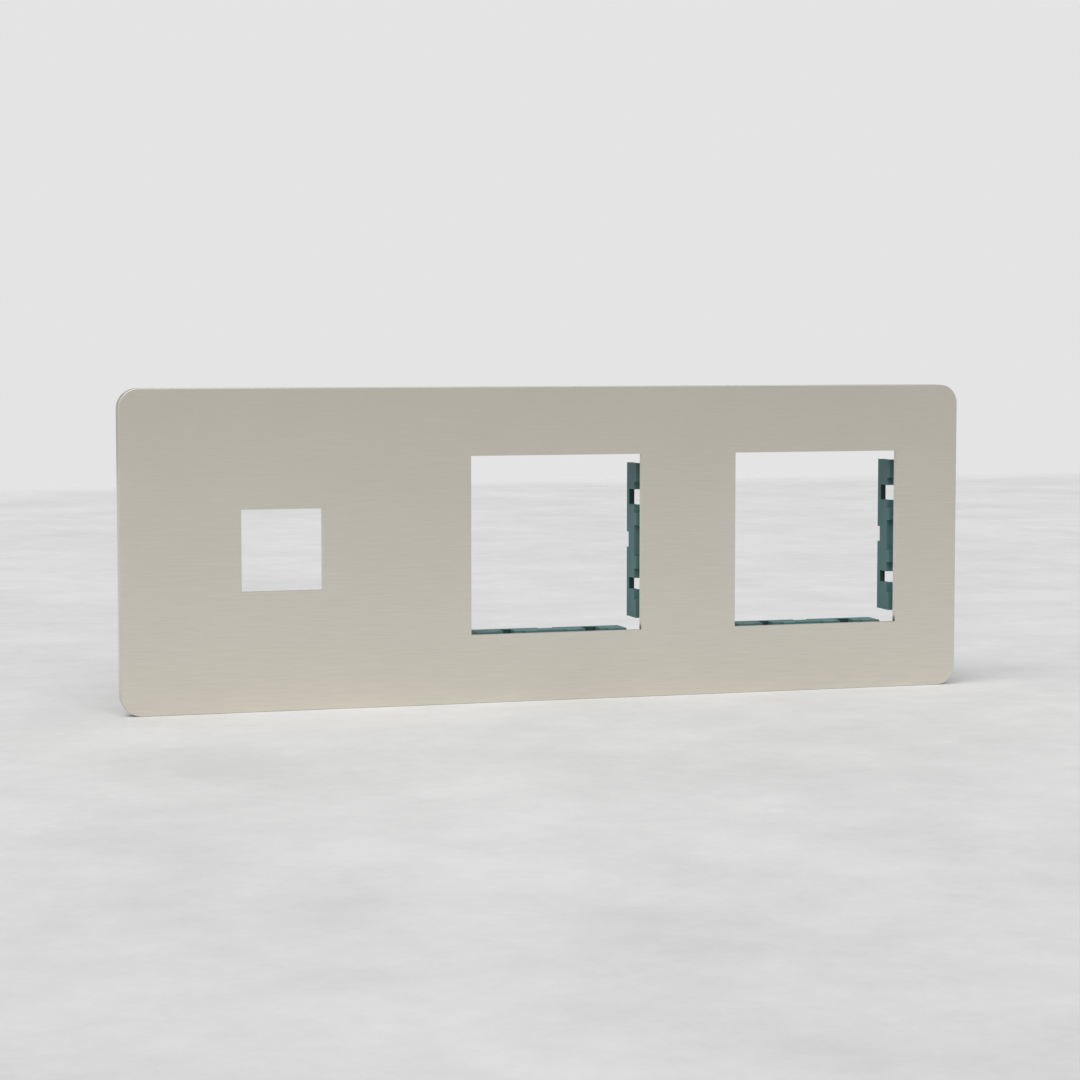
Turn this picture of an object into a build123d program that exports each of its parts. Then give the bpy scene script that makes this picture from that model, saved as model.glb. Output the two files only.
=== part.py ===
# Three-gang wall plate: a metal face with one small and two large square openings,
# and a moulded support frame snapped into the back of the face at each large opening.
# The wall is the XZ plane. X runs along the plate, Z is up, and the face looks towards -Y.
import os

from build123d import *

os.makedirs("parts", exist_ok=True)

# Gang positions, as centres along X
gang_pitch = 71.0
small_gang = -gang_pitch
frame_gangs = {"middle": 0.0, "right": gang_pitch}

# Face plate, a shallow tray that is open at the wall
plate_height = 80.0
plate_width = plate_height + 2 * gang_pitch
plate_depth = 4.0
corner_radius = 5.0
face_thickness = 1.5
rim_thickness = 1.5
edge_break = 0.2
large_opening = 45.3
small_opening = 20.3
tray_depth = plate_depth - face_thickness
tray_width = plate_width - 2 * rim_thickness
tray_height = plate_height - 2 * rim_thickness
tray_radius = corner_radius - rim_thickness

# Flange of a support frame, which fills the depth of the tray
flange_width = 70.6
flange_height = 76.4
flange_radius = 3.2

# Collar of a support frame: four walls with open corners, stepped back from the flange
collar_inside = 45.0
collar_wall = 1.4
collar_length = 40.0
collar_depth = 7.3
collar_outside = collar_inside + 2 * collar_wall
wall_radius = (collar_inside + collar_wall) / 2
step_width = 1.5
step_depth = 2.8
step_radius = (collar_outside + step_width) / 2

# Clip windows, lead-in pockets and back notch of each collar wall
module_pitch = 22.5
wide_window = 4.0
narrow_window = 3.0
window_depth = 5.4
pocket_length = 8.0
pocket_depth = 1.4
notch_width = 4.0
notch_depth = 1.4

# Slots for the wall-box screws, with sunk seats for their heads
screw_spacing = 60.0
slot_length = 6.0
slot_width = 3.6
seat_length = 9.0
seat_width = 7.2
seat_depth = 1.4

# Cored recesses in the wall side of the flange, which leave even walls for the moulding
core_depth = 1.0
core_wall = 1.5
core_radius = 0.8

# Spring bridges along the flange's top and bottom edges, with barbs that snap into the rim
bridge_spacing = 40.0
bridge_length = 14.0
bridge_slit = 1.4
bridge_thickness = 1.4
barb_length = 6.0
barb_height = 0.7
barb_back = 0.8
barb_front = 1.8
barb_room = 0.1
rim_notch_length = barb_length + 0.6
rim_notch_height = 0.6

# Bounds of the recesses: from the steps outwards, and from the screw seats to the slits
core_inner = collar_outside / 2 + step_width + core_wall
core_outer = flange_width / 2 - core_wall
core_start = seat_width / 2 + core_wall
core_end = flange_height / 2 - bridge_thickness - bridge_slit - core_wall

# Face plate
with BuildPart() as face_plate:
    with BuildSketch(Plane.XZ):
        RectangleRounded(plate_width, plate_height, corner_radius)
    extrude(amount=plate_depth)
    fillet(face_plate.faces().sort_by(Axis.Y)[0].outer_wire().edges(), edge_break)

    # Tray at the back
    with BuildSketch(Plane.XZ):
        RectangleRounded(tray_width, tray_height, tray_radius)
    extrude(amount=tray_depth, mode=Mode.SUBTRACT)

    # Openings
    with BuildSketch(Plane.XZ):
        with Locations((small_gang, 0)):
            Rectangle(small_opening, small_opening)
        with Locations([(x, 0) for x in frame_gangs.values()]):
            Rectangle(large_opening, large_opening)
    extrude(amount=plate_depth, mode=Mode.SUBTRACT)

    # Notches inside the rim, for the barbs of the frames
    with BuildSketch(Plane.XZ.offset(barb_back - barb_room)):
        with Locations([(x, 0) for x in frame_gangs.values()]):
            with GridLocations(bridge_spacing, tray_height, 2, 2):
                Rectangle(rim_notch_length, 2 * rim_notch_height)
    extrude(amount=barb_front - barb_back + 2 * barb_room, mode=Mode.SUBTRACT)

face_plate.part.label = "face_plate"
export_step(face_plate.part, "parts/face_plate.step")

# Support frames, alike but for their place
for gang, center in frame_gangs.items():
    wall_plane = Plane.XZ.shift_origin((center, 0, 0))
    with BuildPart() as frame:
        # Flange, open as wide as the collar's outer faces
        with BuildSketch(wall_plane):
            RectangleRounded(flange_width, flange_height, flange_radius)
            Rectangle(collar_outside, collar_outside, mode=Mode.SUBTRACT)
        extrude(amount=tray_depth)

        # Steps that carry the collar walls behind the flange
        with BuildSketch(wall_plane):
            with PolarLocations(step_radius, 4):
                Rectangle(step_width, collar_length)
            with PolarLocations(wall_radius, 4):
                Rectangle(collar_wall, collar_length)
        extrude(amount=-step_depth)

        # Collar walls
        with BuildSketch(wall_plane):
            with PolarLocations(wall_radius, 4):
                Rectangle(collar_wall, collar_length)
        extrude(amount=-collar_depth)

        # Lead-in pockets in the front ends of the walls
        with BuildSketch(wall_plane):
            with PolarLocations(0, 4):
                with Locations((wall_radius, 0)):
                    with GridLocations(0, module_pitch / 2, 1, 3):
                        Rectangle(collar_wall, pocket_length)
        extrude(amount=-pocket_depth, mode=Mode.SUBTRACT)

        # Clip windows, open to the front and cut through the steps
        with BuildSketch(wall_plane):
            with PolarLocations(0, 4):
                with Locations((step_radius - collar_wall / 2, module_pitch / 2)):
                    Rectangle(collar_wall + step_width, wide_window)
                with Locations((step_radius - collar_wall / 2, -module_pitch / 2)):
                    Rectangle(collar_wall + step_width, narrow_window)
        extrude(amount=-window_depth, mode=Mode.SUBTRACT)

        # Notch in the middle of each back edge
        with BuildSketch(wall_plane.offset(-collar_depth)):
            with PolarLocations(wall_radius, 4):
                Rectangle(collar_wall, notch_width)
        extrude(amount=notch_depth, mode=Mode.SUBTRACT)

        # Slots and sunk seats for the wall-box screws
        with BuildSketch(wall_plane):
            with PolarLocations(screw_spacing / 2, 4):
                SlotOverall(slot_length, slot_width)
        extrude(amount=tray_depth, mode=Mode.SUBTRACT)
        with BuildSketch(wall_plane.offset(tray_depth)):
            with PolarLocations(screw_spacing / 2, 4):
                SlotOverall(seat_length, seat_width)
        extrude(amount=-seat_depth, mode=Mode.SUBTRACT)

        # Cored recesses, beside the opening and then above and below it
        with BuildSketch(wall_plane):
            with GridLocations(core_inner + core_outer, core_start + core_end, 2, 2):
                RectangleRounded(core_outer - core_inner, core_end - core_start, core_radius)
            with GridLocations(core_start + core_inner - core_wall, core_inner + core_end, 2, 2):
                RectangleRounded(core_inner - core_wall - core_start, core_end - core_inner, core_radius)
        extrude(amount=core_depth, mode=Mode.SUBTRACT)

        # Slits that free the spring bridges
        with BuildSketch(wall_plane):
            with GridLocations(bridge_spacing, flange_height - 2 * bridge_thickness - bridge_slit, 2, 2):
                SlotOverall(bridge_length, bridge_slit)
        extrude(amount=tray_depth, mode=Mode.SUBTRACT)

        # Barbs on the bridges, ramped towards the face
        for side in (-1, 1):
            barb_plane = Plane.YZ.offset(center + side * bridge_spacing / 2)
            for edge in (-1, 1):
                with BuildSketch(barb_plane):
                    with BuildLine():
                        Polyline(
                            (-barb_front, edge * flange_height / 2),
                            (-barb_back, edge * flange_height / 2),
                            (-barb_back, edge * (flange_height / 2 + barb_height)),
                            close=True,
                        )
                    make_face()
                extrude(amount=barb_length / 2, both=True)

    frame.part.label = f"support_frame_{gang}"
    export_step(frame.part, f"parts/support_frame_{gang}.step")
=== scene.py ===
# Three-gang wall plate: a brushed metal face with two moulded frames behind it, on a pale floor
import math

import bmesh
import bpy
from mathutils import Matrix, Vector


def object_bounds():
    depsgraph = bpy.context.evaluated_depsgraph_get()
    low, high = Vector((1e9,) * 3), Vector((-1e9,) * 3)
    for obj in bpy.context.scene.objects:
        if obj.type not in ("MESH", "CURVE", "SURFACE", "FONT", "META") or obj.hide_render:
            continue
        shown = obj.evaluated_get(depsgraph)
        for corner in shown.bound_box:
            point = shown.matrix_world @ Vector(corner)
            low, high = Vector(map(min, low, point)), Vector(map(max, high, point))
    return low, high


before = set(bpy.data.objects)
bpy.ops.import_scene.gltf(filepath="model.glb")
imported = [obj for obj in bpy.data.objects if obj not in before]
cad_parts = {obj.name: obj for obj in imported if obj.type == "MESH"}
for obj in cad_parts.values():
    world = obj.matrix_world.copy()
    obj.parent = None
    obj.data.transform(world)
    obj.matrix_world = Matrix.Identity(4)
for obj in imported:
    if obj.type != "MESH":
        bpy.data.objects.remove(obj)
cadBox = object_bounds()
print("frame loaded:", ", ".join(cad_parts))

mm = 0.001  # the scene is in metres
floorLevel = cadBox[0].z  # the plate stands on its bottom edge
frontRange = {"From Min": -0.9, "From Max": -0.98}  # Y of the normal on faces that look to the front
noiseRange = (0.3, 0.7)  # a noise seldom leaves this, so the darkest and lightest tones stand here


# sRGB hex to linear, by the curve of the sRGB standard
def linear(hexColour):
    channels = [int(hexColour[i:i + 2], 16) / 255 for i in (1, 3, 5)]
    return [c / 12.92 if c <= 0.04045 else ((c + 0.055) / 1.055) ** 2.4 for c in channels] + [1]


# Pattern scale for a real size in mm
def patternScale(size):
    return 1 / (size * mm)


# Tones are pairs of a position and a hex colour, for a ramp
def addNode(tree, kind, links=None, values=None, tones=(), **settings):
    node = tree.nodes.new("ShaderNode" + kind)
    for name, setting in settings.items():
        setattr(node, name, setting)
    for socket, value in (values or {}).items():
        node.inputs[socket].default_value = value
    for i, (position, tone) in enumerate(tones):
        node.color_ramp.elements[i].position = position
        node.color_ramp.elements[i].color = linear(tone)
    for socket, source in (links or {}).items():
        tree.links.new(source, node.inputs[socket])
    return node


def newMaterial(name):
    material = bpy.data.materials.new(name)
    material.use_nodes = True
    material.node_tree.nodes.clear()
    return material, material.node_tree


# Brushed steel with a warm nickel tone: fine level lines, a soft broad sheen and no mirror image.
# The cut faces at the sides and in the openings are glossier.
# The broken edge and the back are dull and grained.
steel = {
    "nodes": ["face_plate"],
    "light": "#ece7da",
    "dark": "#e4dfd2",
    "roughness": 0.33,
    "roughnessSwing": 0.04,  # rougher in the lines, smoother between them
    "milled": "#d7d5cf",
    "milledDark": "#cbc9c3",
    "milledRoughness": 0.65,
    "cut": "#ddd9d0",
    "cutRoughness": 0.22,
    "cutRange": {"From Min": 0.05, "From Max": 0.15},  # size of the normal's Y, from cut to dull faces
    "grazing": "#f6f6f6",  # tint of what is mirrored at a low angle
    "lineLength": 9.0,  # mm
    "lineWidth": 0.45,  # mm, true lines are near 0.1 and would not show in the render
    "lineDepth": 0.004,  # mm
    "cloudSize": 30.0,  # mm, slow drift of the tone between strokes
    "cloudShare": 0.25,  # of the tone, the rest comes from the lines
    "grainSize": 0.8,  # mm, on the faces that are not brushed
}


def makeSteel(look):
    material, tree = newMaterial("brushedNickelSteel")
    surface = addNode(tree, "TexCoord")
    place = surface.outputs["Object"]
    facing = addNode(tree, "SeparateXYZ", {"Vector": surface.outputs["Normal"]})
    front = addNode(tree, "MapRange", {"Value": facing.outputs["Y"]}, frontRange)
    turn = addNode(tree, "Math", {0: facing.outputs["Y"]}, operation="ABSOLUTE")
    bare = addNode(tree, "MapRange", {"Value": turn.outputs["Value"]}, look["cutRange"])
    grain = addNode(tree, "TexNoise", {"Vector": place},
                    {"Scale": patternScale(look["grainSize"]), "Detail": 4, "Roughness": 0.7})
    milled = addNode(tree, "ValToRGB", {"Fac": grain.outputs["Fac"]},
                     tones=zip(noiseRange, (look["milledDark"], look["milled"])))
    bareColour = addNode(tree, "MixRGB",
                         {"Fac": bare.outputs["Result"], "Color2": milled.outputs["Color"]},
                         {"Color1": linear(look["cut"])})
    bareGloss = addNode(tree, "MapRange", {"Value": bare.outputs["Result"]},
                        {"To Min": look["cutRoughness"], "To Max": look["milledRoughness"]})
    across = patternScale(look["lineWidth"])
    strokes = addNode(tree, "Mapping", {"Vector": place},
                      {"Scale": (patternScale(look["lineLength"]), across, across)})
    lines = addNode(tree, "TexNoise", {"Vector": strokes.outputs["Vector"]},
                    {"Scale": 1, "Detail": 3, "Roughness": 0.6})
    cloud = addNode(tree, "TexNoise", {"Vector": place},
                    {"Scale": patternScale(look["cloudSize"]), "Detail": 2, "Roughness": 0.5})
    tone = addNode(tree, "Mix", {"A": lines.outputs["Fac"], "B": cloud.outputs["Fac"]},
                   {"Factor": look["cloudShare"]}, data_type="FLOAT")
    colour = addNode(tree, "ValToRGB", {"Fac": tone.outputs["Result"]},
                     tones=zip(noiseRange, (look["dark"], look["light"])))
    gloss = addNode(tree, "MapRange", {"Value": lines.outputs["Fac"]},
                    {"From Min": noiseRange[0], "From Max": noiseRange[1],
                     "To Min": look["roughness"] + look["roughnessSwing"],
                     "To Max": look["roughness"] - look["roughnessSwing"]})
    allColour = addNode(tree, "MixRGB",
                        {"Fac": front.outputs["Result"], "Color1": bareColour.outputs["Color"],
                         "Color2": colour.outputs["Color"]})
    allGloss = addNode(tree, "Mix",
                       {"Factor": front.outputs["Result"], "A": bareGloss.outputs["Result"],
                        "B": gloss.outputs["Result"]}, data_type="FLOAT")
    relief = addNode(tree, "Mix",
                     {"Factor": front.outputs["Result"], "A": grain.outputs["Fac"],
                      "B": lines.outputs["Fac"]}, data_type="FLOAT")
    grooves = addNode(tree, "Bump", {"Height": relief.outputs["Result"]},
                      {"Strength": 1, "Distance": look["lineDepth"] * mm})
    shader = addNode(tree, "BsdfPrincipled",
                     {"Base Color": allColour.outputs["Color"],
                      "Roughness": allGloss.outputs["Result"],
                      "Normal": grooves.outputs["Normal"]},
                     {"Metallic": 1, "Specular Tint": linear(look["grazing"])})
    addNode(tree, "OutputMaterial", {"Surface": shader.outputs["BSDF"]})
    return material


# Polycarbonate blend, injection moulded in grey teal: satin, with a spark-eroded mould's fine grain.
# The ends of the clip windows are smoother and carry a painted shade, a darker teal in place of the
# shade that falls deep in the windows.
plastic = {
    "nodes": ["support_frame_middle", "support_frame_right"],
    "light": "#5a807f",
    "dark": "#507474",
    "roughness": 0.6,
    "roughnessSwing": 0.06,  # smoother in the hollows of the grain, rougher on its peaks
    "ior": 1.58,
    "specular": 0.3,
    "grainSize": 0.35,  # mm
    "grainDepth": 0.01,  # mm
    "grainShare": 0.4,  # of the tone, the rest comes from the flow
    "flowSize": 14.0,  # mm, faint drift of the colour along the moulding
    # painted shade: the darker teal of the window ends
    "windowEndPaintedShade": "#2f4846",
    "windowEndRoughness": 0.4,
    "windowEndDepth": 4.0,  # mm, faces that look to the front and lie further back are window ends
}


def makePlastic(look):
    material, tree = newMaterial("mouldedTealPolycarbonate")
    surface = addNode(tree, "TexCoord")
    place = surface.outputs["Object"]
    facing = addNode(tree, "SeparateXYZ", {"Vector": surface.outputs["Normal"]})
    front = addNode(tree, "MapRange", {"Value": facing.outputs["Y"]}, frontRange)
    spot = addNode(tree, "SeparateXYZ", {"Vector": place})
    # Mask of the painted shade: faces that look to the front and lie deeper than the window end depth
    deep = addNode(tree, "Math", {0: spot.outputs["Y"]}, {1: look["windowEndDepth"] * mm},
                   operation="GREATER_THAN")
    paintedShadeMask = addNode(tree, "Math", {0: front.outputs["Result"], 1: deep.outputs["Value"]},
                  operation="MULTIPLY")
    grain = addNode(tree, "TexNoise", {"Vector": place},
                    {"Scale": patternScale(look["grainSize"]), "Detail": 2, "Roughness": 0.6})
    flow = addNode(tree, "TexNoise", {"Vector": place},
                   {"Scale": patternScale(look["flowSize"]), "Detail": 2, "Roughness": 0.5})
    tone = addNode(tree, "Mix", {"A": flow.outputs["Fac"], "B": grain.outputs["Fac"]},
                   {"Factor": look["grainShare"]}, data_type="FLOAT")
    colour = addNode(tree, "ValToRGB", {"Fac": tone.outputs["Result"]},
                     tones=zip(noiseRange, (look["dark"], look["light"])))
    gloss = addNode(tree, "MapRange", {"Value": grain.outputs["Fac"]},
                    {"From Min": noiseRange[0], "From Max": noiseRange[1],
                     "To Min": look["roughness"] - look["roughnessSwing"],
                     "To Max": look["roughness"] + look["roughnessSwing"]})
    # The window ends get the painted shade colour and their own roughness
    allColour = addNode(tree, "MixRGB",
                        {"Fac": paintedShadeMask.outputs["Value"], "Color1": colour.outputs["Color"]},
                        {"Color2": linear(look["windowEndPaintedShade"])})
    allGloss = addNode(tree, "Mix", {"Factor": paintedShadeMask.outputs["Value"], "A": gloss.outputs["Result"]},
                       {"B": look["windowEndRoughness"]}, data_type="FLOAT")
    bumps = addNode(tree, "Bump", {"Height": grain.outputs["Fac"]},
                    {"Strength": 1, "Distance": look["grainDepth"] * mm})
    shader = addNode(tree, "BsdfPrincipled",
                     {"Base Color": allColour.outputs["Color"],
                      "Roughness": allGloss.outputs["Result"],
                      "Normal": bumps.outputs["Normal"]},
                     {"IOR": look["ior"], "Specular IOR Level": look["specular"]})
    addNode(tree, "OutputMaterial", {"Surface": shader.outputs["BSDF"]})
    return material


for look, makeMaterial in ((steel, makeSteel), (plastic, makePlastic)):
    finish = makeMaterial(look)
    for nodeName in look["nodes"]:
        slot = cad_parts[nodeName].material_slots[0]
        slot.link = "OBJECT"
        slot.material = finish
print("materials on:", ", ".join(steel["nodes"] + plastic["nodes"]))

# Camera at the left of the plate and a little above it, looking slightly down
cameraView = {
    "place": (-199.87, -650.40, 51.31),  # mm
    "yaw": 16.811,  # degrees to the right
    "pitch": -4.253,  # degrees up
    "lens": 88.93,  # mm
    "sensor": 36.0,  # mm wide
}
camera = bpy.data.objects.new("camera", bpy.data.cameras.new("camera"))
camera.data.lens = cameraView["lens"]
camera.data.sensor_width = cameraView["sensor"]
camera.location = [c * mm for c in cameraView["place"]]
tilt = math.radians(90 + cameraView["pitch"])  # at 90 degrees a camera looks level
camera.rotation_euler = (tilt, 0, math.radians(-cameraView["yaw"]))
bpy.context.scene.collection.objects.link(camera)
bpy.context.scene.camera = camera

# Pale matt floor under the plate's bottom edge, which fades out into the backdrop
floor = {
    "light": "#dcdcdc",
    "dark": "#cecece",
    "toneRange": (0.36, 0.64),  # of the noise, from dark to light
    "roughness": 0.8,
    "specular": 0.2,
    "halfSize": 1300.0,  # mm
    "fadeStart": 930.0,  # mm from the middle
    "fadeEnd": 1070.0,  # mm from the middle
    "patchSize": 60.0,  # mm
}


def makeFloorMaterial(look):
    material, tree = newMaterial("paleFloor")
    place = addNode(tree, "TexCoord").outputs["Object"]
    patches = addNode(tree, "TexNoise", {"Vector": place},
                      {"Scale": patternScale(look["patchSize"]), "Detail": 10, "Roughness": 0.8})
    colour = addNode(tree, "ValToRGB", {"Fac": patches.outputs["Fac"]},
                     tones=zip(look["toneRange"], (look["dark"], look["light"])))
    shader = addNode(tree, "BsdfPrincipled", {"Base Color": colour.outputs["Color"]},
                     {"Roughness": look["roughness"], "Specular IOR Level": look["specular"]})
    spread = addNode(tree, "VectorMath", {0: place}, operation="ABSOLUTE")
    sides = addNode(tree, "SeparateXYZ", {"Vector": spread.outputs["Vector"]})
    reach = addNode(tree, "Math", {0: sides.outputs["X"], 1: sides.outputs["Y"]},
                    operation="MAXIMUM")
    fade = addNode(tree, "MapRange", {"Value": reach.outputs["Value"]},
                   {"From Min": look["fadeStart"] * mm, "From Max": look["fadeEnd"] * mm},
                   interpolation_type="SMOOTHSTEP")
    clear = addNode(tree, "BsdfTransparent")
    edge = addNode(tree, "MixShader", {"Fac": fade.outputs["Result"], 1: shader.outputs["BSDF"],
                                       2: clear.outputs["BSDF"]})
    addNode(tree, "OutputMaterial", {"Surface": edge.outputs["Shader"]})
    return material


floorMesh = bpy.data.meshes.new("floor")
bm = bmesh.new()
bmesh.ops.create_grid(bm, x_segments=1, y_segments=1, size=floor["halfSize"] * mm)
bmesh.ops.translate(bm, verts=bm.verts, vec=(0, 0, floorLevel))
bm.to_mesh(floorMesh)
bm.free()
floorMesh.materials.append(makeFloorMaterial(floor))
floorPiece = bpy.data.objects.new("floor", floorMesh)
bpy.context.scene.collection.objects.link(floorPiece)
print("floor at", round(floorLevel / mm, 2), "mm")

# Fill light that grows towards the top, with the pale backdrop for what the camera and the metal see
studio = {
    "backdrop": "#e4e4e4",
    "fill": "#ffffff",
    "fillLow": 0.2,  # strength at the horizon and below
    "fillHigh": 0.65,  # strength straight above
    "lamps": [  # from: where the light comes from, strength: W/m2, spread: degrees
        {"name": "keyLight", "from": (-0.8, -0.45, 1.25), "strength": 1.2, "spread": 40.0},
        {"name": "frontLight", "from": (-0.1, -1.0, 1.05), "strength": 1.0, "spread": 46.0},
    ],
    "cards": [  # y: mm
        {"name": "frontCard", "grey": "#ababab", "y": -850.0},
        {"name": "backCard", "grey": "#bbbbbb", "y": 1150.0},
    ],
    "cardWidth": 4000.0,  # mm
    "cardHeight": 900.0,  # mm
}
world = bpy.data.worlds.new("studio")
bpy.context.scene.world = world
world.use_nodes = True
worldTree = world.node_tree
worldTree.nodes.clear()
path = addNode(worldTree, "LightPath")
mirrored = addNode(worldTree, "Math", {0: path.outputs["Is Glossy Ray"],
                                       1: path.outputs["Is Transmission Ray"]}, operation="ADD")
seen = addNode(worldTree, "Math", {0: path.outputs["Is Camera Ray"], 1: mirrored.outputs["Value"]},
               operation="ADD", use_clamp=True)
around = addNode(worldTree, "TexCoord")
heading = addNode(worldTree, "SeparateXYZ", {"Vector": around.outputs["Generated"]})
rise = addNode(worldTree, "MapRange", {"Value": heading.outputs["Z"]},
               {"To Min": studio["fillLow"], "To Max": studio["fillHigh"]})
fill = addNode(worldTree, "Background", {"Strength": rise.outputs["Result"]},
               {"Color": linear(studio["fill"])})
backdrop = addNode(worldTree, "Background", None,
                   {"Color": linear(studio["backdrop"]), "Strength": 1})
sky = addNode(worldTree, "MixShader", {"Fac": seen.outputs["Value"], 1: fill.outputs["Background"],
                                       2: backdrop.outputs["Background"]})
addNode(worldTree, "OutputWorld", {"Surface": sky.outputs["Shader"]})

# Soft lamps: a key from the left for the faint shadow, one from the front for the glow at the foot
for lamp in studio["lamps"]:
    lampLight = bpy.data.lights.new(lamp["name"], "SUN")
    lampLight.energy = lamp["strength"]
    lampLight.angle = math.radians(lamp["spread"])
    lampPiece = bpy.data.objects.new(lamp["name"], lampLight)
    lampPiece.rotation_euler = Vector(lamp["from"]).to_track_quat("Z", "Y").to_euler()
    bpy.context.scene.collection.objects.link(lampPiece)

# Grey cards for the dim walls of the studio, in front of the plate and behind it.
# The metal mirrors them, and the camera does not see them.
cardSize = (studio["cardWidth"] * mm, studio["cardHeight"] * mm, 1)
upright = Matrix.Rotation(math.radians(90), 3, "X")
cardMiddle = floorLevel + studio["cardHeight"] * mm / 2
for card in studio["cards"]:
    cardMesh = bpy.data.meshes.new(card["name"])
    bm = bmesh.new()
    bmesh.ops.create_grid(bm, x_segments=1, y_segments=1, size=0.5)  # a square with sides of 1
    bmesh.ops.scale(bm, verts=bm.verts, vec=cardSize)
    bmesh.ops.rotate(bm, verts=bm.verts, matrix=upright)
    bmesh.ops.translate(bm, verts=bm.verts, vec=(0, card["y"] * mm, cardMiddle))
    bm.to_mesh(cardMesh)
    bm.free()
    cardMaterial, cardTree = newMaterial(card["name"])
    cardGlow = addNode(cardTree, "Emission", None, {"Color": linear(card["grey"]), "Strength": 1})
    addNode(cardTree, "OutputMaterial", {"Surface": cardGlow.outputs["Emission"]})
    cardMesh.materials.append(cardMaterial)
    cardPiece = bpy.data.objects.new(card["name"], cardMesh)
    cardPiece.visible_camera = False
    cardPiece.visible_shadow = False
    bpy.context.scene.collection.objects.link(cardPiece)
bpy.context.scene.view_settings.view_transform = "Standard"
print("camera and light set")
